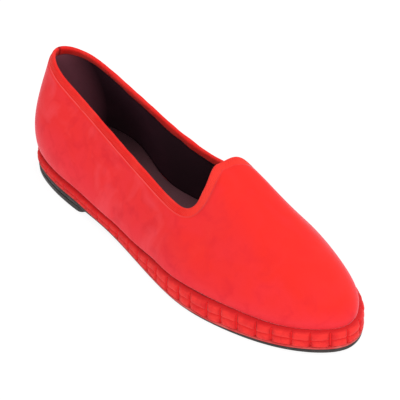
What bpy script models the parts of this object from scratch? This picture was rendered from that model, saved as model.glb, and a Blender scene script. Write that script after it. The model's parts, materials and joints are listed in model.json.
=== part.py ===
"""A velvet slipper for the right foot: a low round-toed upper with a ribbon bound round its collar, on a
stitched fabric-sided sole with a thin rubber outsole and a low rubber heel. Metres, +Z up. The toe points to
+X, the outer side of the foot is at -Y, and the shoe stands on the ground at Z 0."""

import math

import bmesh
import bpy
import numpy as np

NAME = "slipper"

# Driving sizes
HEEL_END = -0.1243
TOE_END = 0.1253
OUTSOLE_ROUND = 0.0006
OUTSOLE_INSET = 0.0002
HEEL_HEIGHT = 0.0034
HEEL_BREAST = -0.060
HEEL_TAPER = 0.0002
HEEL_CORNER = 0.004
TOE_SPRING = 0.0008
WALL = 0.0024
INSOLE_THICKNESS = 0.0020
GAP = 0.0003
UPRIGHT_SHARE = 0.08

# Ribbon binding: the reach of its two legs down the wall, their thicknesses, how far it stands proud of the
# velvet, and the thin edge of the upper that it folds over
RIBBON_OUTSIDE = 0.0048
RIBBON_INSIDE = 0.0055
RIBBON_MIDDLE = 0.0030
RIBBON_OUTER_LEG = 0.0007
RIBBON_INNER_LEG = 0.0006
RIBBON_PROUD = 0.0001
BOUND_EDGE = 0.0009
BOUND_EDGE_DEPTH = 0.0012

# Side of the sole: stitches of equal pitch round it, the middle of the heel half way between two of them,
# with puffed blocks between stitches
STITCHES = 55
STATIONS_PER_STITCH = 4
LEDGE_STEP = 0.0006
STITCH_DEPTH = 0.0008
BLOCK_PUFF = 0.0005

# Section of the sole's side, from the ledge up: share of its height, share of the ledge's step that it is
# set back, share of the puff that it stands out, share of the depth that a stitch pulls in there
SIDE_SECTION = (
    (0.00, 0.5, 0.0, 0.0),
    (0.13, 0.0, 0.0, 0.0),
    (0.15, 1.0, 0.0, 0.0),
    (0.28, 1.0, 1.0, 1.0),
    (0.42, 1.0, 0.0, 0.5),
    (0.56, 1.0, 1.0, 1.0),
    (0.85, 1.0, 0.6, 1.0),
    (1.00, 1.9, 0.0, 0.0),
)

# How finely the pieces are divided round the shoe, up the wall, and at the corners of the heel
RING = 96
OUTER_ROWS = 9
INNER_ROWS = 6
RIB_SAMPLES = 160
HEEL_POINTS = 241
HEEL_CORNER_POINTS = 4

# Outline of the sole, heel to toe: place along the foot, outer edge, inner edge
SOLE_SECTIONS = (
    (HEEL_END, 0.0000, 0.0000),
    (-0.118, -0.0201, 0.0178),
    (-0.101, -0.0295, 0.0253),
    (-0.075, -0.0329, 0.0268),
    (-0.035, -0.0331, 0.0190),
    (0.005, -0.0374, 0.0280),
    (0.040, -0.0405, 0.0385),
    (0.072, -0.0348, 0.0381),
    (0.100, -0.0236, 0.0325),
    (0.119, -0.0084, 0.0202),
    (TOE_END, 0.0060, 0.0060),
)

# Underside of the outsole: place along the foot, height over the ground
UNDERSIDE = (
    (-0.125, HEEL_HEIGHT),
    (HEEL_BREAST, HEEL_HEIGHT),
    (0.010, 0.0),
    (0.072, 0.0),
    (0.125, TOE_SPRING),
)

# Thickness of the outsole, thinned at the waist: place along the foot, thickness
OUTSOLE_THICKNESS = (
    (-0.070, 0.0035),
    (-0.045, 0.0013),
    (0.035, 0.0012),
    (0.060, 0.0015),
    (0.090, 0.0022),
    (0.125, 0.0027),
)

# Height of the stitched side: place along the foot, height
SIDE_HEIGHT = (
    (-0.125, 0.0052),
    (-0.070, 0.0054),
    (-0.045, 0.0059),
    (-0.010, 0.0077),
    (0.020, 0.0106),
    (0.045, 0.0119),
    (0.070, 0.0124),
    (0.100, 0.0106),
    (0.125, 0.0109),
)

# How far the foot of the upper stands in from the edge of the sole: place along the foot, distance
FEATHER_INSET = (
    (-0.125, 0.0002),
    (-0.105, 0.0012),
    (-0.070, 0.0015),
    (0.000, 0.0015),
    (0.050, 0.0024),
    (0.090, 0.0024),
    (0.125, 0.0018),
)

# Ribs of the last, from the sole's edge up to the collar. Place of the foot along the sole and its side
# (-1 outer, 1 inner, 0 heel, 2 toe), top of the rib x y z, its slope there in degrees, length of the lower
# handle, how far that leans out, and length of the upper handle
RIBS = (
    (HEEL_END, 0, -0.1212, -0.0005, 0.0697, 64, 0.022, 0.0048, 0.018),
    (-0.108, -1, -0.1045, -0.0120, 0.0663, 65, 0.022, 0.0055, 0.018),
    (-0.080, -1, -0.0790, -0.0135, 0.0595, 66, 0.020, 0.0042, 0.015),
    (-0.045, -1, -0.0430, -0.0175, 0.0538, 70, 0.016, 0.0022, 0.013),
    (-0.010, -1, -0.0100, -0.0200, 0.0478, 68, 0.014, 0.0020, 0.012),
    (0.025, -1, 0.0155, -0.0230, 0.0465, 66, 0.014, 0.0023, 0.012),
    (0.060, -1, 0.0270, -0.0200, 0.0495, 60, 0.0145, 0.0025, 0.020),
    (0.095, -1, 0.0285, -0.0110, 0.0640, 46, 0.0160, 0.0026, 0.030),
    (TOE_END, 2, 0.0268, 0.0015, 0.0693, 32, 0.0165, 0.0020, 0.045),
    (0.095, 1, 0.0300, 0.0145, 0.0658, 39, 0.0170, 0.0020, 0.030),
    (0.060, 1, 0.0280, 0.0224, 0.0512, 48, 0.0175, 0.0033, 0.021),
    (0.025, 1, 0.0170, 0.0240, 0.0468, 63, 0.014, 0.0025, 0.012),
    (-0.010, 1, -0.0110, 0.0185, 0.0490, 69, 0.014, 0.0021, 0.012),
    (-0.045, 1, -0.0430, 0.0155, 0.0555, 70, 0.016, 0.0022, 0.013),
    (-0.080, 1, -0.0785, 0.0137, 0.0628, 67, 0.020, 0.0026, 0.015),
    (-0.108, 1, -0.1045, 0.0112, 0.0680, 64, 0.022, 0.0052, 0.018),
)

# Colours, roughness and metallic value of each material
VELVET = ((0.80, 0.020, 0.030), 0.85, 0.0)
RIBBON = ((0.62, 0.010, 0.015), 0.55, 0.0)
STITCHED_BAND = ((0.70, 0.018, 0.022), 0.75, 0.0)
RUBBER = ((0.045, 0.040, 0.040), 0.60, 0.0)
LEATHER = ((0.070, 0.025, 0.025), 0.50, 0.0)


def closed_spline(angles, values):
    """Smooth closed curve through values given at rising angles; returns a function of angle."""
    knots = np.asarray(angles, float)
    points = np.asarray(values, float).reshape(len(knots), -1)
    steps = np.diff(np.append(knots, knots[0] + 2 * math.pi))
    matrix = np.zeros((len(knots), len(knots)))
    right = np.zeros_like(points)
    for i in range(len(knots)):
        before, after = i - 1, (i + 1) % len(knots)
        matrix[i, before] += steps[before]
        matrix[i, i] += 2 * (steps[before] + steps[i])
        matrix[i, after] += steps[i]
        rise = (points[after] - points[i]) / steps[i] - (points[i] - points[before]) / steps[before]
        right[i] = 6 * rise
    bends = np.linalg.solve(matrix, right)

    def at(angle):
        angle = (np.asarray(angle, float) - knots[0]) % (2 * math.pi) + knots[0]
        i = np.searchsorted(knots, angle, side="right") - 1
        j = (i + 1) % len(knots)
        past, step = (angle - knots[i])[:, None], steps[i][:, None]
        left = step - past
        curve = (bends[i] * left ** 3 + bends[j] * past ** 3) / (6 * step)
        start = (points[i] / step - bends[i] * step / 6) * left
        end = (points[j] / step - bends[j] * step / 6) * past
        return curve + start + end

    return at


def eased(along, rows):
    """Height at a place along the foot, eased smoothly from row to row of a two-column table."""
    places, heights = np.array(rows).T
    i = np.clip(np.searchsorted(places, along, side="right") - 1, 0, len(places) - 2)
    share = np.clip((along - places[i]) / (places[i + 1] - places[i]), 0, 1)
    share = share * share * (3 - 2 * share)
    return heights[i] + (heights[i + 1] - heights[i]) * share


middle = (TOE_END + HEEL_END) / 2
half_length = (TOE_END - HEEL_END) / 2


def ring_angle(along, side):
    """Angle round the sole: 0 at the heel, pi at the toe, the outer side first."""
    angle = math.acos(max(-1.0, min(1.0, (middle - along) / half_length)))
    return 2 * math.pi - angle if side == 1 else angle


def make_outline():
    """Sole outline as a function of the angle round it."""
    outer = [(ring_angle(along, -1), edge) for along, edge, _ in SOLE_SECTIONS]
    inner = [(ring_angle(along, 1), edge) for along, _, edge in SOLE_SECTIONS[-2:0:-1]]
    angles, edges = zip(*(outer + inner))
    across = closed_spline(angles, edges)
    return lambda angle: np.column_stack([middle - half_length * np.cos(angle), across(angle)[:, 0]])


sole_outline = make_outline()


def inset_outline(angle, inset):
    """Points of the sole outline moved in by a distance."""
    small = 0.001
    along = sole_outline(angle + small) - sole_outline(angle - small)
    along /= np.linalg.norm(along, axis=1)[:, None]
    outward = np.column_stack([along[:, 1], -along[:, 0]])
    if np.sum(outward * sole_outline(angle)) < 0:
        outward = -outward
    return sole_outline(angle) - outward * np.reshape(inset, (-1, 1))


def flat_row(angle, inset, height):
    """One row of points round the sole, at a height given by a function of the place along the foot."""
    points = inset_outline(angle, inset)
    return np.column_stack([points, height(points[:, 0])])


def under_height(along):
    return eased(along, UNDERSIDE)


def outsole_top(along):
    return under_height(along) + eased(along, OUTSOLE_THICKNESS)


def feather_height(along):
    """Top of the stitched side, which the upper and the insole stand on."""
    return outsole_top(along) + eased(along, SIDE_HEIGHT)


def feather_inset(angle):
    """How far in from the edge of the sole the upper stands, at angles round the sole."""
    return eased(sole_outline(angle)[:, 0], FEATHER_INSET)


def side_height(along, share):
    """Height of the stitched side at a share of the way from the outsole up to the feather."""
    low = outsole_top(along) + GAP
    return low + (feather_height(along) - low) * share


ring = np.arange(RING) * 2 * math.pi / RING


def sample_ribs(angle):
    """Points up the outside of the upper at each angle, with the outward direction, the depth below the
    collar along the rib, and the ways round the shoe and up the rib at the collar."""
    knots = [ring_angle(row[0], row[1]) for row in RIBS]
    values = closed_spline(knots, [row[2:] for row in RIBS])(angle)
    top, slope = values[:, :3], np.radians(values[:, 3])
    low_handle, lean, high_handle = values[:, 4:5], values[:, 5:6], values[:, 6:7]
    foot = flat_row(angle, feather_inset(angle), lambda along: feather_height(along) + GAP)
    inward = top - foot
    inward[:, 2] = 0
    inward /= np.linalg.norm(inward, axis=1)[:, None]
    up = np.array([0.0, 0.0, 1.0])
    rise = inward * np.cos(slope)[:, None] + up * np.sin(slope)[:, None]
    handles = (foot, foot + up * low_handle - inward * lean, top - rise * high_handle, top)
    share = np.linspace(0, 1, RIB_SAMPLES)[None, :, None]
    weights = ((1 - share) ** 3, 3 * (1 - share) ** 2 * share, 3 * (1 - share) * share ** 2, share ** 3)
    points = sum(weight * handle[:, None] for weight, handle in zip(weights, handles))
    round_shoe = np.roll(points, -1, 0) - np.roll(points, 1, 0)
    up_rib = np.gradient(points, axis=1)
    outward = np.cross(round_shoe, up_rib)
    outward /= np.linalg.norm(outward, axis=2)[:, :, None]
    if np.sum(outward[:, 0, :2] * foot[:, :2]) < 0:
        outward = -outward
    # the wall's foot stands flat on the sole
    upright = np.exp(-np.linspace(0, 1, RIB_SAMPLES) / UPRIGHT_SHARE)[None, :]
    outward[:, :, 2] *= 1 - upright
    outward /= np.linalg.norm(outward, axis=2)[:, :, None]
    lengths = np.linalg.norm(np.diff(points, axis=1), axis=2)
    depth = np.zeros(points.shape[:2])
    depth[:, :-1] = np.cumsum(lengths[:, ::-1], axis=1)[:, ::-1]
    return points, outward, depth, round_shoe[:, -1], up_rib[:, -1]


def collar_slant():
    """How ribs meet the collar: the sine of the angle between them, and the turn round the shoe, for each
    metre down the wall, that keeps a row of points square to the collar."""
    small = 0.01
    round_shoe, up_rib = sample_ribs(ring)[3:]
    pace = np.linalg.norm(sample_ribs(ring + small)[0][:, -1] - sample_ribs(ring - small)[0][:, -1], axis=1)
    collar_way = round_shoe / np.linalg.norm(round_shoe, axis=1)[:, None]
    rib_way = up_rib / np.linalg.norm(up_rib, axis=1)[:, None]
    cosine = np.sum(collar_way * rib_way, axis=1)
    sine = np.sqrt(1 - cosine ** 2)
    return sine, cosine / sine * 2 * small / pace


rib_sine, rib_turn = collar_slant()


def wall_row(depth, outside, share=0.0):
    """Row of points round the upper, at a depth square to the collar and a distance outside the velvet. A
    share moves it on, that part of the way down to the sole."""
    angle = ring + rib_turn * max(depth, 0.0) * (1 - share) ** 2
    points, outward, depths = sample_ribs(angle)[:3]
    row = []
    for i in range(RING):
        start = depth / rib_sine[i]
        wanted = start + (depths[i, 0] - start) * share
        place = depths[i, ::-1]
        point = np.array([np.interp(wanted, place, points[i, ::-1, k]) for k in range(3)])
        normal = np.array([np.interp(wanted, place, outward[i, ::-1, k]) for k in range(3)])
        row.append(point + normal / np.linalg.norm(normal) * outside)
    return np.array(row)


def wall_shares(count):
    """Shares of the way down the wall, closer together near the sole, where the wall bends most."""
    return 1 - (1 - np.linspace(0, 1, count + 1)) ** 1.5


def material(name, finish):
    colour, roughness, metallic = finish
    new = bpy.data.materials.new(name)
    new.use_nodes = True
    shader = new.node_tree.nodes["Principled BSDF"]
    shader.inputs["Base Color"].default_value = (*colour, 1.0)
    shader.inputs["Roughness"].default_value = roughness
    shader.inputs["Metallic"].default_value = metallic
    return new


def finish_object(name, mesh_builder, finish, parent, collection):
    """Makes a mesh object of a filled bmesh, with smooth rounds and sharp edges."""
    bmesh.ops.recalc_face_normals(mesh_builder, faces=mesh_builder.faces)
    mesh = bpy.data.meshes.new(name)
    mesh_builder.to_mesh(mesh)
    mesh_builder.free()
    mesh.materials.append(material(name, finish))
    mesh.shade_smooth()
    mesh.set_sharp_from_angle(angle=math.radians(35))
    new = bpy.data.objects.new(name, mesh)
    new.parent = parent
    collection.objects.link(new)
    return new


def loft(rows, closed):
    """Skins rows of points round the shoe. A closed loft joins its last row to its first, and an open one is
    capped by strips from the outer side to the inner side."""
    builder = bmesh.new()
    rings = [[builder.verts.new(point) for point in row] for row in rows]
    count = len(rings[0])
    pairs = list(zip(rings, rings[1:] + rings[:1])) if closed else list(zip(rings, rings[1:]))
    for low, high in pairs:
        for i in range(count):
            j = (i + 1) % count
            builder.faces.new((low[i], low[j], high[j], high[i]))
    if not closed:
        for cap in (rings[0], rings[-1]):
            builder.faces.new((cap[0], cap[1], cap[-1]))
            for i in range(1, (count - 1) // 2):
                builder.faces.new((cap[i], cap[i + 1], cap[-i - 1], cap[-i]))
            i = (count - 1) // 2
            builder.faces.new([cap[k] for k in range(i, count - i + 1)])
    return builder


def build_upper(parent, collection):
    """Velvet upper with its lining: one wall, stepped thin at the collar where the ribbon lies."""
    ribbon_out = RIBBON_PROUD - RIBBON_OUTER_LEG
    bound_out = ribbon_out - GAP
    bound_in = bound_out - BOUND_EDGE
    outer_step = RIBBON_OUTSIDE + GAP
    inner_step = RIBBON_INSIDE + GAP
    outer = [wall_row(outer_step, 0.0, share) for share in wall_shares(OUTER_ROWS)[::-1]]
    neck = [
        wall_row(outer_step, bound_out),
        wall_row(RIBBON_MIDDLE, bound_out),
        wall_row(BOUND_EDGE_DEPTH, bound_out),
        wall_row(BOUND_EDGE_DEPTH, bound_in),
        wall_row(inner_step, bound_in),
    ]
    inner = [wall_row(inner_step, -WALL, share) for share in wall_shares(INNER_ROWS)]
    return finish_object("upper", loft(outer + neck + inner, True), VELVET, parent, collection)


def build_collar_binding(parent, collection):
    """Ribbon folded over the collar: a channel with an outer and an inner leg and a round top."""
    outer_face = RIBBON_PROUD
    outer_back = outer_face - RIBBON_OUTER_LEG
    inner_back = outer_back - 2 * GAP - BOUND_EDGE
    inner_face = inner_back - RIBBON_INNER_LEG
    top_radius = (outer_face - inner_face) / 2
    top_centre = (outer_face + inner_face) / 2
    hollow_radius = (outer_back - inner_back) / 2
    hollow_centre = (outer_back + inner_back) / 2
    rows = [wall_row(RIBBON_OUTSIDE, outer_face), wall_row(RIBBON_MIDDLE, outer_face)]
    for turn in np.linspace(0, math.pi, 5):
        rows.append(wall_row(top_radius * (1 - math.sin(turn)), top_centre + top_radius * math.cos(turn)))
    rows.append(wall_row(RIBBON_INSIDE, inner_face))
    rows.append(wall_row(RIBBON_INSIDE, inner_back))
    for turn in np.linspace(math.pi, 0, 3):
        rows.append(wall_row(top_radius - hollow_radius * math.sin(turn),
                             hollow_centre + hollow_radius * math.cos(turn)))
    rows.append(wall_row(RIBBON_MIDDLE, outer_back))
    rows.append(wall_row(RIBBON_OUTSIDE, outer_back))
    return finish_object("collar_binding", loft(rows, True), RIBBON, parent, collection)


def build_midsole(parent, collection):
    """Stitched fabric side of the sole. Its blocks puff out between stitches of equal pitch, over a ledge."""
    fine = np.linspace(0, 2 * math.pi, 2001)
    steps = np.linalg.norm(np.diff(sole_outline(fine), axis=0), axis=1)
    run = np.concatenate([[0], np.cumsum(steps)])
    count = STITCHES * STATIONS_PER_STITCH
    angle = np.interp(np.arange(count) / count * run[-1], run, fine)
    at_stitch = np.arange(count) % STATIONS_PER_STITCH == STATIONS_PER_STITCH // 2

    rows = []
    for share, step, puff, pull in SIDE_SECTION:
        inset = LEDGE_STEP * step - BLOCK_PUFF * puff + np.where(at_stitch, STITCH_DEPTH * pull, 0.0)
        rows.append(flat_row(angle, inset, lambda along: side_height(along, share)))
    return finish_object("midsole", loft(rows, False), STITCHED_BAND, parent, collection)


def build_outsole(parent, collection):
    """Thin rubber sheet under the whole shoe, with its lower edge rounded over."""
    rows = [
        flat_row(ring, OUTSOLE_ROUND, under_height),
        flat_row(ring, OUTSOLE_INSET, lambda along: under_height(along) + OUTSOLE_ROUND),
        flat_row(ring, OUTSOLE_INSET, outsole_top),
    ]
    return finish_object("outsole", loft(rows, False), RUBBER, parent, collection)


def build_heel_lift(parent, collection):
    """Low rubber heel under the back of the outsole, tapered down and cut straight across its breast."""
    outline = inset_outline(np.linspace(-math.pi, math.pi, HEEL_POINTS), OUTSOLE_INSET)
    straight = HEEL_BREAST - HEEL_CORNER
    back = outline[outline[:, 0] < straight]
    quarter = np.linspace(0, math.pi / 2, HEEL_CORNER_POINTS + 1)[1:]
    corner_along = straight + HEEL_CORNER * np.sin(quarter)
    corner_in = HEEL_CORNER * (1 - np.cos(quarter))
    outer_corner = np.column_stack([corner_along, back[-1, 1] + corner_in])
    inner_corner = np.column_stack([corner_along, back[0, 1] - corner_in])[::-1]
    top = np.vstack([back, outer_corner, inner_corner])
    centre = top.mean(axis=0)
    shrink = 1 - HEEL_TAPER / np.linalg.norm(top - centre, axis=1)[:, None]
    bottom = centre + (top - centre) * shrink
    builder = bmesh.new()
    high = [builder.verts.new((x, y, HEEL_HEIGHT - GAP)) for x, y in top]
    low = [builder.verts.new((x, y, 0.0)) for x, y in bottom]
    builder.faces.new(high)
    builder.faces.new(low[::-1])
    for i in range(len(high)):
        j = (i + 1) % len(high)
        builder.faces.new((low[i], low[j], high[j], high[i]))
    return finish_object("heel_lift", builder, RUBBER, parent, collection)


def build_insole(parent, collection):
    """Leather insole lying on the midsole, inside the foot of the upper."""
    inset = feather_inset(ring) + WALL + 3 * GAP
    rows = [
        flat_row(ring, inset, lambda along: feather_height(along) + GAP),
        flat_row(ring, inset, lambda along: feather_height(along) + GAP + INSOLE_THICKNESS),
    ]
    return finish_object("insole", loft(rows, False), LEATHER, parent, collection)


for old in list(bpy.data.objects):
    bpy.data.objects.remove(old, do_unlink=True)

shoe_collection = bpy.data.collections.new(NAME)
bpy.context.scene.collection.children.link(shoe_collection)
shoe = bpy.data.objects.new(NAME, None)
shoe_collection.objects.link(shoe)

build_heel_lift(shoe, shoe_collection)
build_outsole(shoe, shoe_collection)
build_midsole(shoe, shoe_collection)
build_insole(shoe, shoe_collection)
build_upper(shoe, shoe_collection)
build_collar_binding(shoe, shoe_collection)
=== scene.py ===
"""A red velvet slipper for the right foot, finished over its packed construction: rubber outsole and heel, a
stitched cloth side to the sole, leather insole, cotton lining, velvet upper and a ribbon bound round the
collar. Metres, +Z up, toe to +X, outer side of the foot at -Y."""

import json
import math

import bmesh
import bpy
import numpy as np
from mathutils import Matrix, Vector, kdtree, noise

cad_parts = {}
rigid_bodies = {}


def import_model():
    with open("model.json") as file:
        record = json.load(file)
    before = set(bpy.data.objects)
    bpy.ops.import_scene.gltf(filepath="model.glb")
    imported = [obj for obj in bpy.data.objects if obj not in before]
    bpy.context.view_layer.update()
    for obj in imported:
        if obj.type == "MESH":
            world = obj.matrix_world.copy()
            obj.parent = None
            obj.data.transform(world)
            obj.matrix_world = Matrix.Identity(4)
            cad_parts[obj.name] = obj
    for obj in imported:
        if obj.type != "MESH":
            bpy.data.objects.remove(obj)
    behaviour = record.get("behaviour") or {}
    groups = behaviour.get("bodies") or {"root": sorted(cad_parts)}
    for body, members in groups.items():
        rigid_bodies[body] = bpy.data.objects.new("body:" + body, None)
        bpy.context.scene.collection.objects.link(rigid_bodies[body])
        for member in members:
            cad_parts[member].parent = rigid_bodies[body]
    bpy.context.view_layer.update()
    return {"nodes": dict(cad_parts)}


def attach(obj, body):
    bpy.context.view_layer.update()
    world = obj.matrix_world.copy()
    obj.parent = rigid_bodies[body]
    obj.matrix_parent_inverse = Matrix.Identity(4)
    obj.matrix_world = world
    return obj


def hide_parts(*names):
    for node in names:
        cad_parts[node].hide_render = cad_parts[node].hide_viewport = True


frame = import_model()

bpy.ops.object.select_all(action="DESELECT")


# Camera, floor and light. The camera looks down at the outer side and toe of the shoe, a little rolled. The
# floor is white and gives off most of its own brightness. The light is wide and soft: most of it comes from
# above the toe, some from in front, and a little from behind the inner side.
camera_place = Vector((0.7465, -0.5743, 0.7373))
shoe_middle = Vector((0.0047, 0.0025, 0.0300))
camera_roll = math.radians(-1.51)
camera_lens = 193.0
floor_width = 8.0
floor_grey = 0.14
floor_glow = 0.90
sky_strength = 0.54

bpy.ops.object.camera_add(location=camera_place)
camera = bpy.context.object
camera.data.lens = camera_lens
camera.data.clip_start = 0.05
camera.data.clip_end = 20.0
camera.rotation_mode = "QUATERNION"
camera.rotation_quaternion = (shoe_middle - camera_place).to_track_quat("-Z", "Y")
camera.rotation_mode = "XYZ"
camera.rotation_euler.rotate_axis("Z", camera_roll)
bpy.context.scene.camera = camera

bpy.ops.mesh.primitive_plane_add(size=floor_width, location=(0.0, 0.0, 0.0))
floor = bpy.context.object
floor.name = "floor"
floor_paint = bpy.data.materials.new("white floor")
floor_paint.use_nodes = True
floor_shader = floor_paint.node_tree.nodes["Principled BSDF"]
floor_shader.inputs["Base Color"].default_value = (floor_grey, floor_grey, floor_grey, 1.0)
floor_shader.inputs["Roughness"].default_value = 0.8
floor_shader.inputs["Emission Color"].default_value = (1.0, 1.0, 1.0, 1.0)
floor_shader.inputs["Emission Strength"].default_value = floor_glow
floor.data.materials.append(floor_paint)

sky = bpy.data.worlds.new("studio")
bpy.context.scene.world = sky
sky.use_nodes = True
sky.node_tree.nodes["Background"].inputs["Color"].default_value = (1.0, 1.0, 1.0, 1.0)
sky.node_tree.nodes["Background"].inputs["Strength"].default_value = sky_strength
bpy.context.scene.view_settings.view_transform = "Standard"


def soft_light(name, place, side, power):
    """A square area light that faces the middle of the shoe."""
    bpy.ops.object.light_add(type="AREA", location=place)
    lamp = bpy.context.object
    lamp.name = name
    lamp.data.size = side
    lamp.data.energy = power
    lamp.rotation_mode = "QUATERNION"
    lamp.rotation_quaternion = (shoe_middle - lamp.location).to_track_quat("-Z", "Y")


soft_light("light_above", place=(0.45, 0.10, 1.30), side=1.2, power=8.5)
soft_light("light_front", place=(0.95, -0.75, 0.75), side=0.9, power=4.0)
soft_light("light_behind", place=(-0.20, 0.95, 0.70), side=0.8, power=2.5)


# Rubber outsole. A thin sheet of dark rubber is glued under the whole shoe and trimmed flush with the
# stitched side. Its rims are rounded, and it is scuffed paler in patches.
weld_distance = 0.00001
rubber_colour = (0.040, 0.034, 0.033)
rubber_worn = (0.070, 0.059, 0.056)


def copy_of(node, name):
    """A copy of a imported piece, its loose triangles joined up and paired back into four-sided faces."""
    source = frame["nodes"][node]
    piece = bpy.data.objects.new(name, source.data.copy())
    piece.data.materials.clear()
    bpy.context.collection.objects.link(piece)
    bpy.ops.object.select_all(action="DESELECT")
    bpy.context.view_layer.objects.active = piece
    piece.select_set(True)
    bpy.ops.object.mode_set(mode="EDIT")
    bpy.ops.mesh.select_all(action="SELECT")
    bpy.ops.mesh.remove_doubles(threshold=weld_distance)
    bpy.ops.mesh.tris_convert_to_quads(face_threshold=math.pi, shape_threshold=math.pi,
                                       topology_influence=2.0)
    bpy.ops.mesh.select_all(action="DESELECT")
    bpy.ops.object.mode_set(mode="OBJECT")
    return piece


def apply_modifier(piece, kind, **settings):
    """Adds a modifier to a piece, sets it and applies it."""
    modifier = piece.modifiers.new(kind.lower(), kind)
    for key, value in settings.items():
        setattr(modifier, key, value)
    bpy.ops.object.select_all(action="DESELECT")
    bpy.context.view_layer.objects.active = piece
    piece.select_set(True)
    bpy.ops.object.modifier_apply(modifier=modifier.name)


def smooth_by_angle(piece, degrees):
    """Shades a piece smooth, apart from the edges where its faces meet at more than an angle."""
    bpy.ops.object.select_all(action="DESELECT")
    bpy.context.view_layer.objects.active = piece
    piece.select_set(True)
    bpy.ops.object.shade_smooth_by_angle(angle=math.radians(degrees))
    piece.select_set(False)


def crease_rims(piece, least, strength):
    """Holds the edges where faces meet at more than an angle, so that subdivision rounds them little."""
    mesh = bmesh.new()
    mesh.from_mesh(piece.data)
    held = mesh.edges.layers.float.get("crease_edge") or mesh.edges.layers.float.new("crease_edge")
    for edge in mesh.edges:
        if len(edge.link_faces) == 2 and edge.calc_face_angle(0.0) > least:
            edge[held] = strength
    mesh.to_mesh(piece.data)
    mesh.free()


class Finish:
    """A material with a Principled shader, and short ways to add and join nodes."""

    def __init__(self, name, colour, roughness, **constants):
        self.material = bpy.data.materials.new(name)
        self.material.use_nodes = True
        self.nodes = self.material.node_tree.nodes
        self.links = self.material.node_tree.links
        self.shader = self.nodes["Principled BSDF"]
        self.shader.inputs["Base Color"].default_value = (*colour, 1.0)
        self.shader.inputs["Roughness"].default_value = roughness
        for key, value in constants.items():
            self.shader.inputs[key.replace("_", " ")].default_value = value
        self.place = self.nodes.new("ShaderNodeTexCoord").outputs["Object"]

    def node(self, kind, settings=None, **inputs):
        """A new node. Its inputs are given by name, or as i and a number, each a value or a socket."""
        new = self.nodes.new("ShaderNode" + kind)
        for key, value in (settings or {}).items():
            setattr(new, key, value)
        for key, value in inputs.items():
            socket = new.inputs[int(key[1:])] if key[0] == "i" and key[1:].isdigit() else new.inputs[key]
            if isinstance(value, bpy.types.NodeSocket):
                self.links.new(value, socket)
            else:
                socket.default_value = value
        return new

    def noise(self, scale, detail=2.0, distortion=0.0):
        """Grey cloud noise, with a scale in lumps to the metre."""
        inputs = {"Vector": self.place, "Scale": scale, "Detail": detail, "Distortion": distortion}
        return self.node("TexNoise", **inputs).outputs["Fac"]

    def spread(self, value, low, high, start=0.0, end=1.0):
        """A value stretched from low..high to start..end, and held there."""
        return self.node("MapRange", i0=value, i1=low, i2=high, i3=start, i4=end).outputs["Result"]

    def along_foot(self, limits, start, end):
        """A value that goes from start to end between two places along the foot, and is held past them."""
        place = self.node("SeparateXYZ", i0=self.place).outputs["X"]
        return self.spread(place, *limits, start, end)

    def maths(self, operation, first, second=0.0):
        """What one of the Math node's operations makes of one value, or of two."""
        return self.node("Math", {"operation": operation}, i0=first, i1=second).outputs[0]

    def mix(self, share, first, second):
        """A colour part of the way from the first to the second."""
        ends = [(*c, 1.0) if isinstance(c, tuple) else c for c in (first, second)]
        new = self.node("Mix", {"data_type": "RGBA"}, i0=share)
        for socket, end in zip((new.inputs[6], new.inputs[7]), ends):
            if isinstance(end, bpy.types.NodeSocket):
                self.links.new(end, socket)
            else:
                socket.default_value = end
        return new.outputs[2]

    def colour(self, value):
        """Joins a colour to the shader."""
        self.links.new(value, self.shader.inputs["Base Color"])

    def roughness(self, value):
        """Joins a roughness to the shader."""
        self.links.new(value, self.shader.inputs["Roughness"])

    def bump(self, height, depth, strength=1.0, under=None):
        """Small relief of a depth in metres, over any relief already there."""
        inputs = {"Height": height, "Distance": depth, "Strength": strength}
        if under:
            inputs["Normal"] = under
        out = self.node("Bump", **inputs).outputs["Normal"]
        self.links.new(out, self.shader.inputs["Normal"])
        return out


def rubber_finish(name):
    """Dark grey-brown rubber, matt, with paler scuffed patches and a fine pitted skin."""
    rubber = Finish(name, rubber_colour, roughness=0.68, Specular_IOR_Level=0.25)
    patches = rubber.spread(rubber.noise(scale=90.0, detail=4.0, distortion=0.5), low=0.48, high=0.72)
    rubber.colour(rubber.mix(patches, rubber_colour, rubber_worn))
    scuffs = rubber.noise(scale=300.0, detail=3.0)
    rubber.roughness(rubber.spread(scuffs, low=0.3, high=0.7, start=0.5, end=0.75))
    rubber.bump(rubber.noise(scale=1400.0, detail=3.0), depth=0.00025, strength=0.5)
    return rubber.material


outsole = copy_of("outsole", "rubber_outsole")
crease_rims(outsole, least=math.radians(30), strength=0.8)
apply_modifier(outsole, "SUBSURF", levels=2, render_levels=2)
smooth_by_angle(outsole, degrees=40)
outsole.data.materials.append(rubber_finish("outsole rubber"))
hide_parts("outsole")
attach(outsole, "root")


# Heel. A block of the same rubber lies under the back of the outsole, tapered down a little and cut straight
# across its breast. Its edges are worn round.
heel_wear = 0.0005
heel = copy_of("heel_lift", "rubber_heel")
apply_modifier(heel, "BEVEL", width=heel_wear, segments=2, limit_method="ANGLE", angle_limit=math.radians(50))
smooth_by_angle(heel, degrees=60)
heel.data.materials.append(rubber_finish("heel rubber"))
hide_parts("heel_lift")
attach(heel, "root")


# Stitched side of the sole. Layers of cloth are sewn through by hand with strong thread. The red cloth that
# covers their edge puffs out between the stitches in two rows of blocks, over a thin pale ledge.
stitches = 55
side_height = 0.0100
block_split = 0.50
block_puff = 0.0005
stitch_pull = 0.0008
stitch_reach = 0.0023
hole_depth = 0.0005
hole_reach = 0.0005
stitch_ends = (0.17, 0.93)
cover_thickness = 0.0010
midsole_under_inset = 0.0003
level_normal = 0.9
ring_weld = 0.00002
block_columns = 12
column_crowding = 0.11
row_step = 0.001
cloth_colour = (0.98, 0.036, 0.032)
cloth_deep = (0.82, 0.018, 0.022)
# colour of the painted shade on the cloth
cloth_shade_colour = (0.56, 0.008, 0.012)

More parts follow.
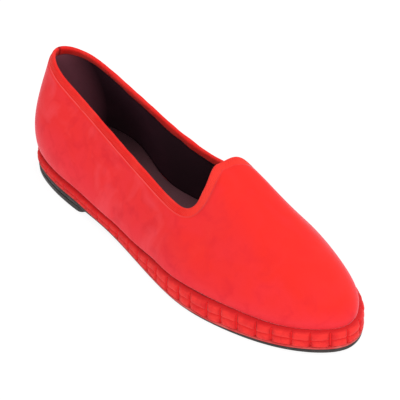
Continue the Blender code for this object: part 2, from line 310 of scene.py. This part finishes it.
# how firmly the stitches are drawn in at the heel, the place along the foot where it starts to grow, and over
# what length it grows to the full
heel_firmness = 0.45
firmer_from = -0.060
firmer_over = 0.090

# painted shade on the cloth: toward the heel, under the velvet's edge and in the groove between its two
# rows. Heights and reaches are shares of the side's height
heel_shade = 0.32
heel_shade_limits = (-0.040, 0.030)
top_shade = 0.8
top_shade_from = 0.90
top_shade_reach = 0.09
split_shade = 0.35
split_shade_reach = 0.06

# unevenness of the handwork along the side: how far it drifts, in how many waves round the shoe, and where
# they start. Up the side it drifts by a share of the height
stitch_drifts = (
    (0.0006, 23, 0.0),
    (0.0005, 37, 1.0),
)
height_drift = 0.12
height_drift_waves = 19

# rows of the covering cloth, from the ledge up and in under the velvet: share of the side's height, how far
# it is set back there, share of the puff, share of the stitches' pull
cloth_rows = (
    (0.07, 0.0008, 0.0, 0.0),
    (0.11, 0.0003, 0.5, 0.6),
    (0.16, 0.0002, 1.0, 1.0),
    (0.26, 0.0002, 1.0, 1.0),
    (0.36, 0.0002, 0.9, 1.0),
    (0.43, 0.0003, 0.7, 0.8),
    (0.50, 0.0006, 0.2, 0.5),
    (0.57, 0.0003, 0.7, 0.8),
    (0.63, 0.0002, 0.9, 1.0),
    (0.70, 0.0002, 1.0, 1.0),
    (0.80, 0.0003, 0.8, 1.0),
    (0.89, 0.0005, 0.5, 0.8),
    (0.96, 0.0010, 0.2, 0.4),
    (1.00, 0.0016, 0.0, 0.1),
    (1.03, 0.0025, 0.0, 0.0),
    (1.05, 0.0036, 0.0, 0.0),
)


def rim_of(piece, up):
    """Points in order round the rim of a piece's top, or with up -1 its underside, from the back of the heel
    along the outer side of the foot first."""
    mesh = bmesh.new()
    mesh.from_mesh(piece.data)
    level = {face for face in mesh.faces if face.normal.z * up > level_normal}
    flat = {max(level, key=lambda face: face.calc_area())}
    spread = list(flat)
    while spread:
        for face in {other for edge in spread.pop().edges for other in edge.link_faces} & level - flat:
            flat.add(face)
            spread.append(face)
    beside = {}
    for edge in mesh.edges:
        if sum(face in flat for face in edge.link_faces) == 1:
            for one, other in (edge.verts, reversed(edge.verts)):
                beside.setdefault(one, []).append(other)
    start = min(beside, key=lambda vert: vert.co.x)
    walk = [start, min(beside[start], key=lambda vert: vert.co.y)]
    while len(walk) < len(beside):
        walk.append(next(vert for vert in beside[walk[-1]] if vert is not walk[-2]))
    points = np.array([vert.co[:] for vert in walk])
    mesh.free()
    return points


def smooth_at(points, share):
    """Places on the smooth closed curve through points, at shares of the way round counted in points."""
    share = np.asarray(share, float) * len(points)
    i = np.floor(share).astype(int)
    u = (share - i)[..., None]
    before, here, after, beyond = (points[(i + k) % len(points)] for k in (-1, 0, 1, 2))
    return here + 0.5 * u * (after - before + u * (2 * before - 5 * here + 4 * after - beyond
                                                   + u * (3 * (here - after) + beyond - before)))


midsole_cage = copy_of("midsole", "midsole_cage")
side_foot = rim_of(midsole_cage, up=-1)
side_top = rim_of(midsole_cage, up=1)
bpy.data.objects.remove(midsole_cage, do_unlink=True)
side_length = np.linalg.norm(np.diff(np.vstack([side_foot, side_foot[:1]]), axis=0), axis=1).sum()
stitch_pitch = side_length / stitches


def on_side(along, up, out):
    """Places on the side of the sole: a distance round it, a share of its height and a distance outwards.
    What the share has over 1 goes straight up from the top, as that share of side_height."""
    share = np.asarray(along) / side_length
    foot, top = smooth_at(side_foot, share), smooth_at(side_top, share)
    step = 0.2 / len(side_foot)
    way = smooth_at(side_foot, share + step) - smooth_at(side_foot, share - step)
    way /= np.linalg.norm(way[..., :2], axis=-1)[..., None]
    outward = np.stack([way[..., 1], -way[..., 0]], axis=-1)
    flat = foot[..., :2] + outward * (midsole_under_inset + np.asarray(out))[..., None]
    up = np.asarray(up)
    over_top = side_height * np.maximum(up - 1.0, 0.0)
    height = foot[..., 2] + (top[..., 2] - foot[..., 2]) * np.minimum(up, 1.0) + over_top
    return np.concatenate([flat, height[..., None]], axis=-1)


def points_of(piece):
    """The places of a piece's points, one row for each."""
    points = np.zeros(len(piece.data.vertices) * 3)
    piece.data.vertices.foreach_get("co", points)
    return points.reshape(-1, 3)


def set_points(piece, points):
    """Moves a piece's points to new places, one row for each."""
    piece.data.vertices.foreach_set("co", np.asarray(points, float).ravel())
    piece.data.update()


def lay_round(piece):
    """Lays a piece made flat, with X along the side, Y outwards and Z up, round the side of the sole. What is
    made side_height tall is stretched or pressed to the height that the side has there. The handwork is a
    little uneven, both along the side and up it."""
    x, y, z = points_of(piece).T
    turns = 2 * math.pi * x / side_length
    for reach, waves, start in stitch_drifts:
        x = x + reach * np.sin(waves * turns + start)
    up = z / side_height
    up = up + height_drift * np.clip(up * (1.0 - up), 0.0, 1.0) * np.sin(height_drift_waves * turns)
    set_points(piece, on_side(x, up, y))


def firmness(along):
    """How firmly the stitches are drawn in at distances round the side, as a share of the full pull."""
    foot = smooth_at(side_foot, along / side_length)[:, 0]
    return heel_firmness + (1.0 - heel_firmness) * np.clip((foot - firmer_from) / firmer_over, 0.0, 1.0)


def repeat_at_stitches(piece):
    """Copies a piece along X, once for each stitch, and joins the copies where they meet."""
    apply_modifier(piece, "ARRAY", count=stitches, use_relative_offset=False, use_constant_offset=True,
                   constant_offset_displace=(stitch_pitch, 0.0, 0.0), use_merge_vertices=True,
                   merge_threshold=weld_distance)


def close_ring(piece):
    """Joins what meets in a piece that was laid round the sole, and turns its faces outwards."""
    bpy.ops.object.select_all(action="DESELECT")
    bpy.context.view_layer.objects.active = piece
    piece.select_set(True)
    bpy.ops.object.mode_set(mode="EDIT")
    bpy.ops.mesh.select_all(action="SELECT")
    bpy.ops.mesh.remove_doubles(threshold=ring_weld)
    bpy.ops.mesh.normals_make_consistent(inside=False)
    bpy.ops.object.mode_set(mode="OBJECT")


def push(piece, height_at):
    """Moves each point of a piece out along its normal, by a height given by a function of its place."""
    normals = np.zeros(len(piece.data.vertices) * 3)
    piece.data.vertices.foreach_get("normal", normals)
    points = points_of(piece)
    set_points(piece, points + normals.reshape(-1, 3) * height_at(points)[:, None])


def crumple(piece, depth, scale, share=1.0):
    """Small uneven dents in a piece, of a depth in metres and a scale in dents to the metre. The share of the
    depth is one number, or a number for each point."""
    def dents(points):
        return np.array([noise.noise(Vector(point) * scale) for point in points]) * depth * share

    push(piece, dents)


def cloth_finish():
    """Red plain-woven cotton, with a close weave, slubs and worn paler places. It has painted shade where
    stitches draw it in, in the groove between its rows, under the velvet's edge, and toward the heel."""
    cloth = Finish("stitched cloth", cloth_colour, roughness=0.85, Sheen_Weight=0.3, Sheen_Roughness=0.4,
                   Specular_IOR_Level=0.2, Sheen_Tint=(1.0, 0.4, 0.4, 1.0))
    patches = cloth.spread(cloth.noise(scale=160.0, detail=3.0, distortion=0.4), low=0.30, high=0.55)
    # painted shade toward the heel
    heel_painted_shade = cloth.along_foot(heel_shade_limits, start=heel_shade, end=0.0)
    # painted shade in the grooves, under the velvet's edge and in the long groove
    painted_shade_mask = cloth.node("Attribute", {"attribute_name": "painted_cloth_shade"}).outputs["Fac"]
    red = cloth.mix(heel_painted_shade, cloth.mix(patches, cloth_deep, cloth_colour), cloth_shade_colour)
    cloth.colour(cloth.mix(painted_shade_mask, red, cloth_shade_colour))
    warp = cloth.node("TexWave", {"bands_direction": "X"}, Vector=cloth.place, Scale=520.0, Distortion=1.5)
    weft = cloth.node("TexWave", {"bands_direction": "Z"}, Vector=cloth.place, Scale=560.0, Distortion=1.5)
    weave = cloth.maths("ADD", warp.outputs["Fac"], weft.outputs["Fac"])
    under = cloth.bump(cloth.noise(scale=700.0, detail=3.0), depth=0.0004, strength=0.6)
    cloth.bump(weave, depth=0.00012, strength=0.6, under=under)
    return cloth.material


# one plate of cloth between two stitches, with narrower faces beside them; Y counts its rows
bpy.ops.mesh.primitive_grid_add(x_subdivisions=block_columns, y_subdivisions=len(cloth_rows) - 1,
                                size=1.0)
blocks = bpy.context.object
blocks.name = "stitched_side"
x, y, _ = points_of(blocks).T + 0.5
row = np.round(y * (len(cloth_rows) - 1)).astype(int)
crowded = x - column_crowding * np.sin(2 * math.pi * x)
set_points(blocks, np.column_stack([crowded * stitch_pitch, row * row_step,
                                    np.array(cloth_rows)[row, 0] * side_height]))
repeat_at_stitches(blocks)

# drawn in at the stitches, puffed out between them, with a small hole at each end of a stitch
x, y, z = points_of(blocks).T
beside = np.abs((x / stitch_pitch + 0.5) % 1.0 - 0.5) * stitch_pitch
_, set_back, puff, pull = np.array(cloth_rows)[np.round(y / row_step).astype(int)].T
x += stitch_pitch / 2
drawn = (1.0 - np.minimum(beside / stitch_reach, 1.0)) ** 2 * firmness(x)
out = block_puff * puff * (1.0 - drawn) - set_back - stitch_pull * pull * drawn
for end in stitch_ends:
    out -= hole_depth * np.exp(-(beside ** 2 + (z - end * side_height) ** 2) / hole_reach ** 2)
set_points(blocks, np.column_stack([x, out, z]))
# painted shade on the cloth: in the grooves drawn in at the stitches, under the velvet's edge and in the long
# groove
shade_under_velvet = top_shade * np.clip((z / side_height - top_shade_from) / top_shade_reach, 0.0, 1.0)
shade_in_split = split_shade * np.exp(-((z / side_height - block_split) / split_shade_reach) ** 2)
shade = np.maximum(np.maximum(drawn * pull, shade_under_velvet), shade_in_split)
blocks.data.attributes.new("painted_cloth_shade", "FLOAT", "POINT").data.foreach_set("value", shade)
lay_round(blocks)
close_ring(blocks)
crumple(blocks, depth=0.00022, scale=210.0)
apply_modifier(blocks, "SOLIDIFY", thickness=cover_thickness, offset=-1.0)
blocks.data.shade_smooth()
blocks.data.materials.append(cloth_finish())
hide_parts("midsole")
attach(blocks, "root")


# Ledge. The edge of the bottom cloth layer shows as a thin pale line between the stitched blocks and the
# rubber, where it was pasted down and trimmed. It is a strip with a rounded outer edge.
ledge_share = 0.09
ledge_proud = 0.0002
ledge_thickness = 0.0022
ledge_round = 0.00015
ledge_colour = (0.62, 0.035, 0.035)
ledge_pale = (0.74, 0.120, 0.110)

# it has no UV map, because rounding its edges would change one a little differently on each run
bpy.ops.mesh.primitive_plane_add(size=1.0, calc_uvs=False)
ledge = bpy.context.object
ledge.name = "sole_ledge"
plate = points_of(ledge)
set_points(ledge, np.column_stack([(plate[:, 0] + 0.5) * stitch_pitch, np.full(4, ledge_proud),
                                   (plate[:, 1] + 0.5) * ledge_share * side_height]))
bpy.ops.object.mode_set(mode="EDIT")
bpy.ops.mesh.select_all(action="SELECT")
bpy.ops.mesh.subdivide(number_cuts=3)
bpy.ops.object.mode_set(mode="OBJECT")
repeat_at_stitches(ledge)
lay_round(ledge)
close_ring(ledge)
apply_modifier(ledge, "SOLIDIFY", thickness=ledge_thickness, offset=-1.0)
apply_modifier(ledge, "BEVEL", width=ledge_round, segments=2, limit_method="ANGLE",
               angle_limit=math.radians(50))
close_ring(ledge)
smooth_by_angle(ledge, degrees=50)
ledge_cloth = Finish("pasted cloth edge", ledge_colour, roughness=0.8)
ledge_rubs = ledge_cloth.spread(ledge_cloth.noise(scale=120.0, detail=3.0), low=0.4, high=0.65)
ledge_cloth.colour(ledge_cloth.mix(ledge_rubs, ledge_colour, ledge_pale))
ledge_cloth.bump(ledge_cloth.noise(scale=1500.0, detail=2.0), depth=0.0002, strength=0.6)
ledge.data.materials.append(ledge_cloth.material)
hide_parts("midsole")
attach(ledge, "root")


# Stitches. Strong red thread is sewn through the cloth layers by hand: an upright stitch in each groove
# between two blocks, and a thinner running thread in the long groove between the two rows.
thread_radius = 0.00038
thread_out = -0.00042
thread_dip = 0.0006
thread_colour = (0.86, 0.020, 0.022)
upright_cuts = 9
running_radius_share = 0.7
running_dip_share = 0.6
running_cuts = 5

bpy.ops.mesh.primitive_cylinder_add(vertices=8, radius=thread_radius, depth=1.0, end_fill_type="NGON")
stitch = bpy.context.object
stitch.name = "upright_stitches"
bpy.ops.object.mode_set(mode="EDIT")
for height in np.linspace(-0.4, 0.4, upright_cuts):
    bpy.ops.mesh.select_all(action="SELECT")
    bpy.ops.mesh.bisect(plane_co=(0.0, 0.0, float(height)), plane_no=(0.0, 0.0, 1.0))
bpy.ops.object.mode_set(mode="OBJECT")
x, y, z = points_of(stitch).T
share_up = stitch_ends[0] + (stitch_ends[1] - stitch_ends[0]) * (z + 0.5)
bow = np.sin((z + 0.5) * math.pi) ** 0.5
set_points(stitch, np.column_stack([x + stitch_pitch / 2, y + thread_out - thread_dip * (1 - bow),
                                    share_up * side_height]))
repeat_at_stitches(stitch)
lay_round(stitch)
close_ring(stitch)
stitch.data.shade_smooth()


def thread_finish(name):
    """Twisted red thread, a little darker than the cloth, with the twist as small ridges."""
    thread = Finish(name, thread_colour, roughness=0.9, Specular_IOR_Level=0.1)
    twist = thread.node("TexWave", {"bands_direction": "DIAGONAL"}, Vector=thread.place, Scale=420.0,
                        Distortion=0.5)
    thread.bump(twist.outputs["Fac"], depth=0.0001, strength=0.6)
    return thread.material


stitch.data.materials.append(thread_finish("upright thread"))
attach(stitch, "root")

bpy.ops.mesh.primitive_cylinder_add(vertices=8, radius=thread_radius * running_radius_share,
                                    depth=stitch_pitch, end_fill_type="NOTHING",
                                    rotation=(0.0, math.pi / 2, 0.0))
running = bpy.context.object
running.name = "running_thread"
bpy.ops.object.transform_apply(location=False, rotation=True, scale=False)
bpy.ops.object.mode_set(mode="EDIT")
for place in np.linspace(-0.4, 0.4, running_cuts):
    bpy.ops.mesh.select_all(action="SELECT")
    bpy.ops.mesh.bisect(plane_co=(float(place) * stitch_pitch, 0.0, 0.0), plane_no=(1.0, 0.0, 0.0))
bpy.ops.object.mode_set(mode="OBJECT")
x, y, z = points_of(running).T
share_along = x / stitch_pitch + 0.5
bow = np.sin(share_along.clip(0.0, 1.0) * math.pi) ** 0.5
set_back = thread_dip * running_dip_share * (1 - bow)
set_points(running, np.column_stack([(share_along + 0.5) * stitch_pitch, y + thread_out - set_back,
                                     z + block_split * side_height]))
repeat_at_stitches(running)
lay_round(running)
close_ring(running)
running.data.shade_smooth()
running.data.materials.append(thread_finish("running thread"))
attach(running, "root")


# Core of the sole. Layers of dark cotton are pasted into one stack, which fills the stitched cover and
# carries the insole. It stops a little inside the cover all round.
core_inset = 0.0016
core_colour = (0.018, 0.008, 0.010)
core_pale = (0.034, 0.016, 0.018)

core = copy_of("midsole", "layered_core")
push(core, lambda points: np.full(len(points), -core_inset))
smooth_by_angle(core, degrees=40)
core_cotton = Finish("layered cotton", core_colour, roughness=0.9, Specular_IOR_Level=0.1)
layers = core_cotton.node("TexWave", {"bands_direction": "Z"}, Vector=core_cotton.place, Scale=260.0,
                          Distortion=2.0)
core_cotton.colour(core_cotton.mix(layers.outputs["Fac"], core_colour, core_pale))
core_cotton.bump(layers.outputs["Fac"], depth=0.0002, strength=0.6)
core.data.materials.append(core_cotton.material)
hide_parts("midsole")
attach(core, "root")


# Insole. A sheet of dark burgundy leather lies inside the foot of the upper, its cut edge rounded a little.
# It is worn paler and smoother in patches, and has painted shade toward the heel.
insole_colour = (0.135, 0.052, 0.064)
insole_worn = (0.170, 0.068, 0.080)
insole_shaded = (0.045, 0.019, 0.025)
insole_shade = 0.7
insole_shade_limits = (-0.085, -0.050)

insole = copy_of("insole", "leather_insole")
crease_rims(insole, least=math.radians(40), strength=0.7)
apply_modifier(insole, "SUBSURF", levels=2, render_levels=2)
smooth_by_angle(insole, degrees=50)
insole_leather = Finish("insole leather", insole_colour, roughness=0.55, Specular_IOR_Level=0.35)
worn = insole_leather.spread(insole_leather.noise(scale=28.0, detail=3.0, distortion=0.3), low=0.35, high=0.7)
leather = insole_leather.mix(worn, insole_colour, insole_worn)
# painted shade toward the heel
insole_painted_shade = insole_leather.along_foot(insole_shade_limits, start=insole_shade, end=0.0)
insole_leather.colour(insole_leather.mix(insole_painted_shade, leather, insole_shaded))
insole_leather.roughness(insole_leather.spread(worn, low=0.0, high=1.0, start=0.62, end=0.48))
grain = insole_leather.node("TexVoronoi", {"feature": "DISTANCE_TO_EDGE"}, Vector=insole_leather.place,
                            Scale=900.0)
insole_leather.bump(insole_leather.spread(grain.outputs["Distance"], low=0.0, high=0.25),
                    depth=0.00015, strength=0.5)
insole.data.materials.append(insole_leather.material)
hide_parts("insole")
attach(insole, "root")


# Lining. Dark aubergine cotton lines the whole inside of the upper, from under the inner edge of the ribbon
# down to the insole. It has soft wrinkles, and painted light makes it lighter at the back of the heel.
wall_middle = 0.040
wall_sharp = math.radians(40)
underside_normal = -0.8
inward_normal = -0.5
lining_thickness = 0.0007
lining_painted_light_limits = (-0.121, -0.106)
lining_colour = (0.022, 0.010, 0.013)
lining_worn = (0.040, 0.014, 0.020)
lining_painted_light = (0.300, 0.095, 0.130)


def keep_wall(piece, inner):
    """Keeps one side of the upper's wall, outer or inner, with its step and its neck under the ribbon."""
    bpy.ops.object.select_all(action="DESELECT")
    bpy.context.view_layer.objects.active = piece
    piece.select_set(True)
    bpy.ops.object.mode_set(mode="EDIT")
    bpy.ops.mesh.select_mode(type="EDGE")
    bpy.ops.mesh.edges_select_sharp(sharpness=wall_sharp)
    bpy.ops.mesh.mark_sharp()
    bpy.ops.mesh.select_mode(type="FACE")
    bpy.ops.mesh.select_all(action="DESELECT")
    bpy.ops.object.mode_set(mode="OBJECT")
    for face in piece.data.polygons:
        face.select = face.normal.z < underside_normal and face.center.z < wall_middle
    bpy.ops.object.mode_set(mode="EDIT")
    bpy.ops.mesh.delete(type="FACE")
    bpy.ops.object.mode_set(mode="OBJECT")
    faces = [face for face in piece.data.polygons if face.center.z < wall_middle]
    if inner:
        faces = [face for face in faces if face.center.y > 0.0 and face.normal.y < inward_normal]
    max(faces, key=lambda face: face.center.y).select = True
    bpy.ops.object.mode_set(mode="EDIT")
    bpy.ops.mesh.select_linked(delimit={"SHARP"})
    for _ in ("step", "neck"):
        bpy.ops.mesh.select_more()
        bpy.ops.mesh.select_linked(delimit={"SHARP"})
    bpy.ops.mesh.select_all(action="INVERT")
    bpy.ops.mesh.delete(type="FACE")
    bpy.ops.object.mode_set(mode="OBJECT")
    for edge in piece.data.edges:
        edge.use_edge_sharp = False


lining = copy_of("upper", "cotton_lining")
keep_wall(lining, inner=True)
apply_modifier(lining, "SUBSURF", levels=2, render_levels=2)
crumple(lining, depth=0.0005, scale=45.0)
apply_modifier(lining, "SOLIDIFY", thickness=lining_thickness, offset=-1.0)
lining.data.shade_smooth()
lining_cotton = Finish("aubergine cotton", lining_colour, roughness=0.9, Sheen_Weight=0.1,
                       Sheen_Roughness=0.5, Sheen_Tint=(0.7, 0.25, 0.4, 1.0), Specular_IOR_Level=0.06)
rubbed = lining_cotton.spread(lining_cotton.noise(scale=35.0, detail=3.0, distortion=0.4),
                              low=0.45, high=0.75)
aubergine = lining_cotton.mix(rubbed, lining_colour, lining_worn)
# painted light at the back of the heel
at_back = lining_cotton.along_foot(lining_painted_light_limits, start=1.0, end=0.0)
lining_cotton.colour(lining_cotton.mix(at_back, aubergine, lining_painted_light))
twill = lining_cotton.node("TexWave", {"bands_direction": "DIAGONAL"}, Vector=lining_cotton.place,
                           Scale=420.0, Distortion=1.0)
lining_cotton.bump(twill.outputs["Fac"], depth=0.00015, strength=0.4)
lining.data.materials.append(lining_cotton.material)
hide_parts("upper")
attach(lining, "root")


# Velvet upper. One piece of short-pile red velvet, closed by a seam at the back of the heel, is drawn over
# the last and sewn down all round on the sole, where its edge is turned in.
velvet_thickness = 0.0006
pile_lift = 0.00015
lip_rise = 0.00060
lip_out = 0.00025
foot_tuck = 0.0011
velvet_top = (0.90, 0.028, 0.022)
# colours of the painted sheen on the sides, of darker random smudges, of the painted pale sheen and of the
# painted highlight at the ribbon
velvet_side_sheen = (0.91, 0.036, 0.048)
velvet_deep = (0.76, 0.018, 0.030)
velvet_pale_sheen = (0.96, 0.075, 0.095)
velvet_lip_highlight = (0.95, 0.130, 0.140)
# where the painted sheen and highlight fade toward the toe, and the share of them left on the vamp
vamp_limits = (0.000, 0.030)
vamp_share = 0.3
slack_from = 0.001
slack_reach = 0.007
shortest_down = 0.003
path_points = 2000
fold_fade = 0.006
seam_limit = -0.100
seam_rise = 0.00035
seam_width = 0.0022
seam_groove = 0.0011
seam_groove_width = 0.0007

# folds of the velvet: place along the foot of their lower and upper ends, heights there, width, height of the
# ridge (a trough when negative), side of the foot (-1 outer, 1 inner)
velvet_folds = (
    (-0.020, 0.016, -0.030, 0.046, 0.0045, -0.0009, 1),
    (-0.014, 0.015, -0.020, 0.044, 0.0038, 0.0022, 1),
    (-0.006, 0.014, -0.008, 0.040, 0.0045, -0.0008, 1),
    (0.003, 0.014, 0.006, 0.038, 0.0038, 0.0019, 1),
    (0.012, 0.014, 0.018, 0.036, 0.0050, -0.0006, 1),
    (-0.034, 0.018, -0.044, 0.044, 0.0055, 0.0016, 1),
    (-0.030, 0.016, -0.036, 0.036, 0.0060, -0.0004, -1),
    (-0.012, 0.015, -0.012, 0.034, 0.0070, 0.0004, -1),
    (0.010, 0.014, 0.014, 0.032, 0.0080, -0.0003, -1),
)


def folds_at(points):
    """Height of the velvet's soft folds over its plain shape."""
    height = np.zeros(len(points))
    for low_x, low_z, high_x, high_z, width, rise, side in velvet_folds:
        along = np.clip((points[:, 2] - low_z) / (high_z - low_z), 0.0, 1.0)
        past = np.maximum(points[:, 2] - high_z, low_z - points[:, 2]).clip(0.0) / fold_fade
        across = (points[:, 0] - (low_x + (high_x - low_x) * along)) / width
        there = np.sign(points[:, 1]) == side
        height += there * rise * np.exp(-across ** 2 - past ** 2)
    return height


def seam_at(points):
    """A shallow groove with two low ridges beside it, down the middle of the back of the heel."""
    across = np.abs(points[:, 1])
    near = (points[:, 0] < seam_limit) * np.exp(-(across / seam_width) ** 2)
    return near * (seam_rise - seam_groove * np.exp(-(across / seam_groove_width) ** 2))


def turn_edges(piece):
    """Lifts the upper edge of the velvet against the ribbon and a little over it, and tucks its lower edge
    in. Returns the points of the upper edge, in order round the shoe."""
    mesh = bmesh.new()
    mesh.from_mesh(piece.data)
    held = mesh.edges.layers.float["crease_edge"]
    moves, lip = [], []
    for vert in mesh.verts:
        down = [edge.other_vert(vert) for edge in vert.link_edges
                if edge[held] == 0.0 and edge.calc_length() > shortest_down]
        if len(down) == 1 and sum(edge[held] > 0.0 for edge in vert.link_edges) >= 2:
            moves.append((vert, (vert.co - down[0].co).normalized() * lip_rise + vert.normal * lip_out))
            lip.append(vert)
        elif vert.is_boundary and vert.co.z < wall_middle:
            moves.append((vert, vert.normal * -foot_tuck))
    for vert, move in moves:
        vert.co += move
    middle = sum((vert.co for vert in lip), Vector()) / len(lip)
    lip.sort(key=lambda vert: math.atan2(vert.co.y - middle.y, vert.co.x - middle.x))
    points = np.array([vert.co[:] for vert in lip])
    mesh.to_mesh(piece.data)
    mesh.free()
    return points


def measure_along(piece, path):
    """Gives each point of a piece its distance along a closed path, and its distance from that path."""
    fine = smooth_at(path, np.linspace(0.0, 1.0, path_points, endpoint=False))
    steps = np.linalg.norm(np.diff(np.vstack([fine, fine[:1]]), axis=0), axis=1)
    run = np.concatenate([[0.0], np.cumsum(steps)])
    tree = kdtree.KDTree(len(fine))
    for i, point in enumerate(fine):
        tree.insert(point, i)
    tree.balance()
    found = [tree.find(vert.co) for vert in piece.data.vertices]
    for name, values in (("along", [run[i] for _, i, _ in found]), ("down", [gap for _, _, gap in found])):
        piece.data.attributes.new(name, "FLOAT", "POINT").data.foreach_set("value", values)


velvet = copy_of("upper", "velvet_upper")
keep_wall(velvet, inner=False)
crease_rims(velvet, least=math.radians(40), strength=0.85)
velvet_edge = turn_edges(velvet)
apply_modifier(velvet, "SUBSURF", levels=2, render_levels=2)
measure_along(velvet, velvet_edge)
below_edge = np.zeros(len(velvet.data.vertices))
velvet.data.attributes["down"].data.foreach_get("value", below_edge)
slack = np.clip((below_edge - slack_from) / slack_reach, 0.0, 1.0)
push(velvet, lambda points: folds_at(points) * slack + seam_at(points) + pile_lift)
crumple(velvet, depth=0.0005, scale=32.0, share=slack)
apply_modifier(velvet, "SOLIDIFY", thickness=velvet_thickness, offset=-1.0)
velvet.data.shade_smooth()
velvet_pile = Finish("red velvet", velvet_top, roughness=0.9, Sheen_Weight=0.75, Sheen_Roughness=0.30,
                     Sheen_Tint=(1.0, 0.45, 0.52, 1.0), Specular_IOR_Level=0.12)
# painted sheen: the sides are painted pinker than the top, by which way the surface faces, under a random
# brushed nap
facing_up = velvet_pile.node("NewGeometry").outputs["Normal"]
up = velvet_pile.node("SeparateXYZ", i0=facing_up).outputs["Z"]
brushed = velvet_pile.noise(scale=42.0, detail=5.0, distortion=0.8)
smudges = velvet_pile.noise(scale=110.0, detail=4.0, distortion=0.6)
lean = velvet_pile.spread(brushed, low=0.3, high=0.7, start=-0.30, end=0.30)
facing_sheen_and_nap = velvet_pile.maths("ADD", velvet_pile.spread(up, low=0.15, high=0.80), lean)
red = velvet_pile.mix(velvet_pile.spread(facing_sheen_and_nap, low=0.0, high=1.0), velvet_side_sheen, velvet_top)
smudge_share = velvet_pile.spread(up, low=0.4, high=0.9, start=0.5, end=0.12)
smudged = velvet_pile.maths("MULTIPLY", velvet_pile.spread(smudges, low=0.48, high=0.70), smudge_share)
red = velvet_pile.mix(smudged, red, velvet_deep)
# painted sheen in pale patches along the brushed nap: stronger on the sides, and fading toward the toe
lit_share = velvet_pile.spread(up, low=0.4, high=0.9, start=0.6, end=0.15)
lit = velvet_pile.maths("MULTIPLY", velvet_pile.spread(brushed, low=0.50, high=0.68), lit_share)
painted_light_behind_vamp = velvet_pile.along_foot(vamp_limits, start=1.0, end=vamp_share)
red = velvet_pile.mix(velvet_pile.maths("MULTIPLY", lit, painted_light_behind_vamp), red, velvet_pale_sheen)
# painted highlight along the velvet's raised edge under the ribbon, fading toward the toe
from_edge = velvet_pile.node("Attribute", {"attribute_name": "down"}).outputs["Fac"]
lip_highlight_share = velvet_pile.spread(from_edge, low=0.0004, high=0.0010, start=0.6, end=0.0)
lip = velvet_pile.maths("MULTIPLY", lip_highlight_share, painted_light_behind_vamp)
red = velvet_pile.mix(lip, red, velvet_lip_highlight)
velvet_pile.colour(red)
soft = velvet_pile.bump(brushed, depth=0.0015, strength=0.25)
velvet_pile.bump(velvet_pile.noise(scale=2200.0, detail=2.0), depth=0.00025, strength=0.45, under=soft)
velvet.data.materials.append(velvet_pile.material)
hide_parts("upper")
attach(velvet, "root")


# Binding. A red ribbed ribbon is folded over the collar and sewn down, with its two ends joined at the back
# of the heel. It lies a little proud of the velvet, slightly uneven, and has painted light on the vamp.
ribbon_colour = (0.92, 0.016, 0.012)
ribbon_painted_light = (1.00, 0.046, 0.032)
ribbon_worn = (0.96, 0.034, 0.026)
ribbon_joint = (0.45, 0.006, 0.008)
ribbon_painted_light_limits = (0.018, 0.034)
ribbon_back_limits = (-0.105, -0.100)
rib_pitch = 0.0011
rib_lean = 0.6
ring_points = 96


def highest_round(piece):
    """Points of the loop of edges that runs round a closed band through its highest point at the heel."""
    mesh = bmesh.new()
    mesh.from_mesh(piece.data)
    walk = [max((vert for vert in mesh.verts if vert.co.x < 0.0), key=lambda vert: vert.co.z)]
    edge = max(walk[0].link_edges, key=lambda edge: abs(edge.other_vert(walk[0]).co.y - walk[0].co.y))
    for _ in range(ring_points):
        walk.append(edge.other_vert(walk[-1]))
        faces = set(edge.link_faces)
        edge = next(other for other in walk[-1].link_edges if not faces & set(other.link_faces))
    points = np.array([vert.co[:] for vert in walk[:-1]])
    mesh.free()
    return points


binding = copy_of("collar_binding", "ribbon_binding")
collar_path = highest_round(binding)
crease_rims(binding, least=math.radians(60), strength=0.8)
apply_modifier(binding, "SUBSURF", levels=2, render_levels=2)
crumple(binding, depth=0.00035, scale=120.0)
measure_along(binding, collar_path)
binding.data.shade_smooth()
ribbon = Finish("ribbed ribbon", ribbon_colour, roughness=0.7, Sheen_Weight=0.2, Sheen_Roughness=0.4,
                Sheen_Tint=(1.0, 0.35, 0.3, 1.0), Specular_IOR_Level=0.2)
along = ribbon.node("Attribute", {"attribute_name": "along"}).outputs["Fac"]
down = ribbon.node("Attribute", {"attribute_name": "down"}).outputs["Fac"]
slant = ribbon.maths("ADD", along, ribbon.maths("MULTIPLY", down, rib_lean))
ribs = ribbon.maths("SINE", ribbon.maths("MULTIPLY", slant, 2 * math.pi / rib_pitch))
rubbed = ribbon.spread(ribbon.noise(scale=60.0, detail=3.0, distortion=0.5), low=0.45, high=0.7)
worn_and_lit_red = ribbon.mix(rubbed, ribbon_colour, ribbon_worn)
# painted light on the ribbon over the vamp
worn_and_lit_red = ribbon.mix(ribbon.along_foot(ribbon_painted_light_limits, start=0.0, end=1.0), worn_and_lit_red, ribbon_painted_light)
beside_joint = ribbon.maths("ABSOLUTE", ribbon.node("SeparateXYZ", i0=ribbon.place).outputs["Y"])
at_back = ribbon.along_foot(ribbon_back_limits, start=1.0, end=0.0)
near_joint = ribbon.spread(beside_joint, low=0.0003, high=0.0008, start=1.0, end=0.0)
joint = ribbon.maths("MULTIPLY", near_joint, at_back)
ribbon.colour(ribbon.mix(joint, worn_and_lit_red, ribbon_joint))
under = ribbon.bump(ribs, depth=0.00016, strength=0.7)
ribbon.bump(ribbon.noise(scale=1600.0, detail=2.0), depth=0.00015, strength=0.4, under=under)
binding.data.materials.append(ribbon.material)
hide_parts("collar_binding")
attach(binding, "root")
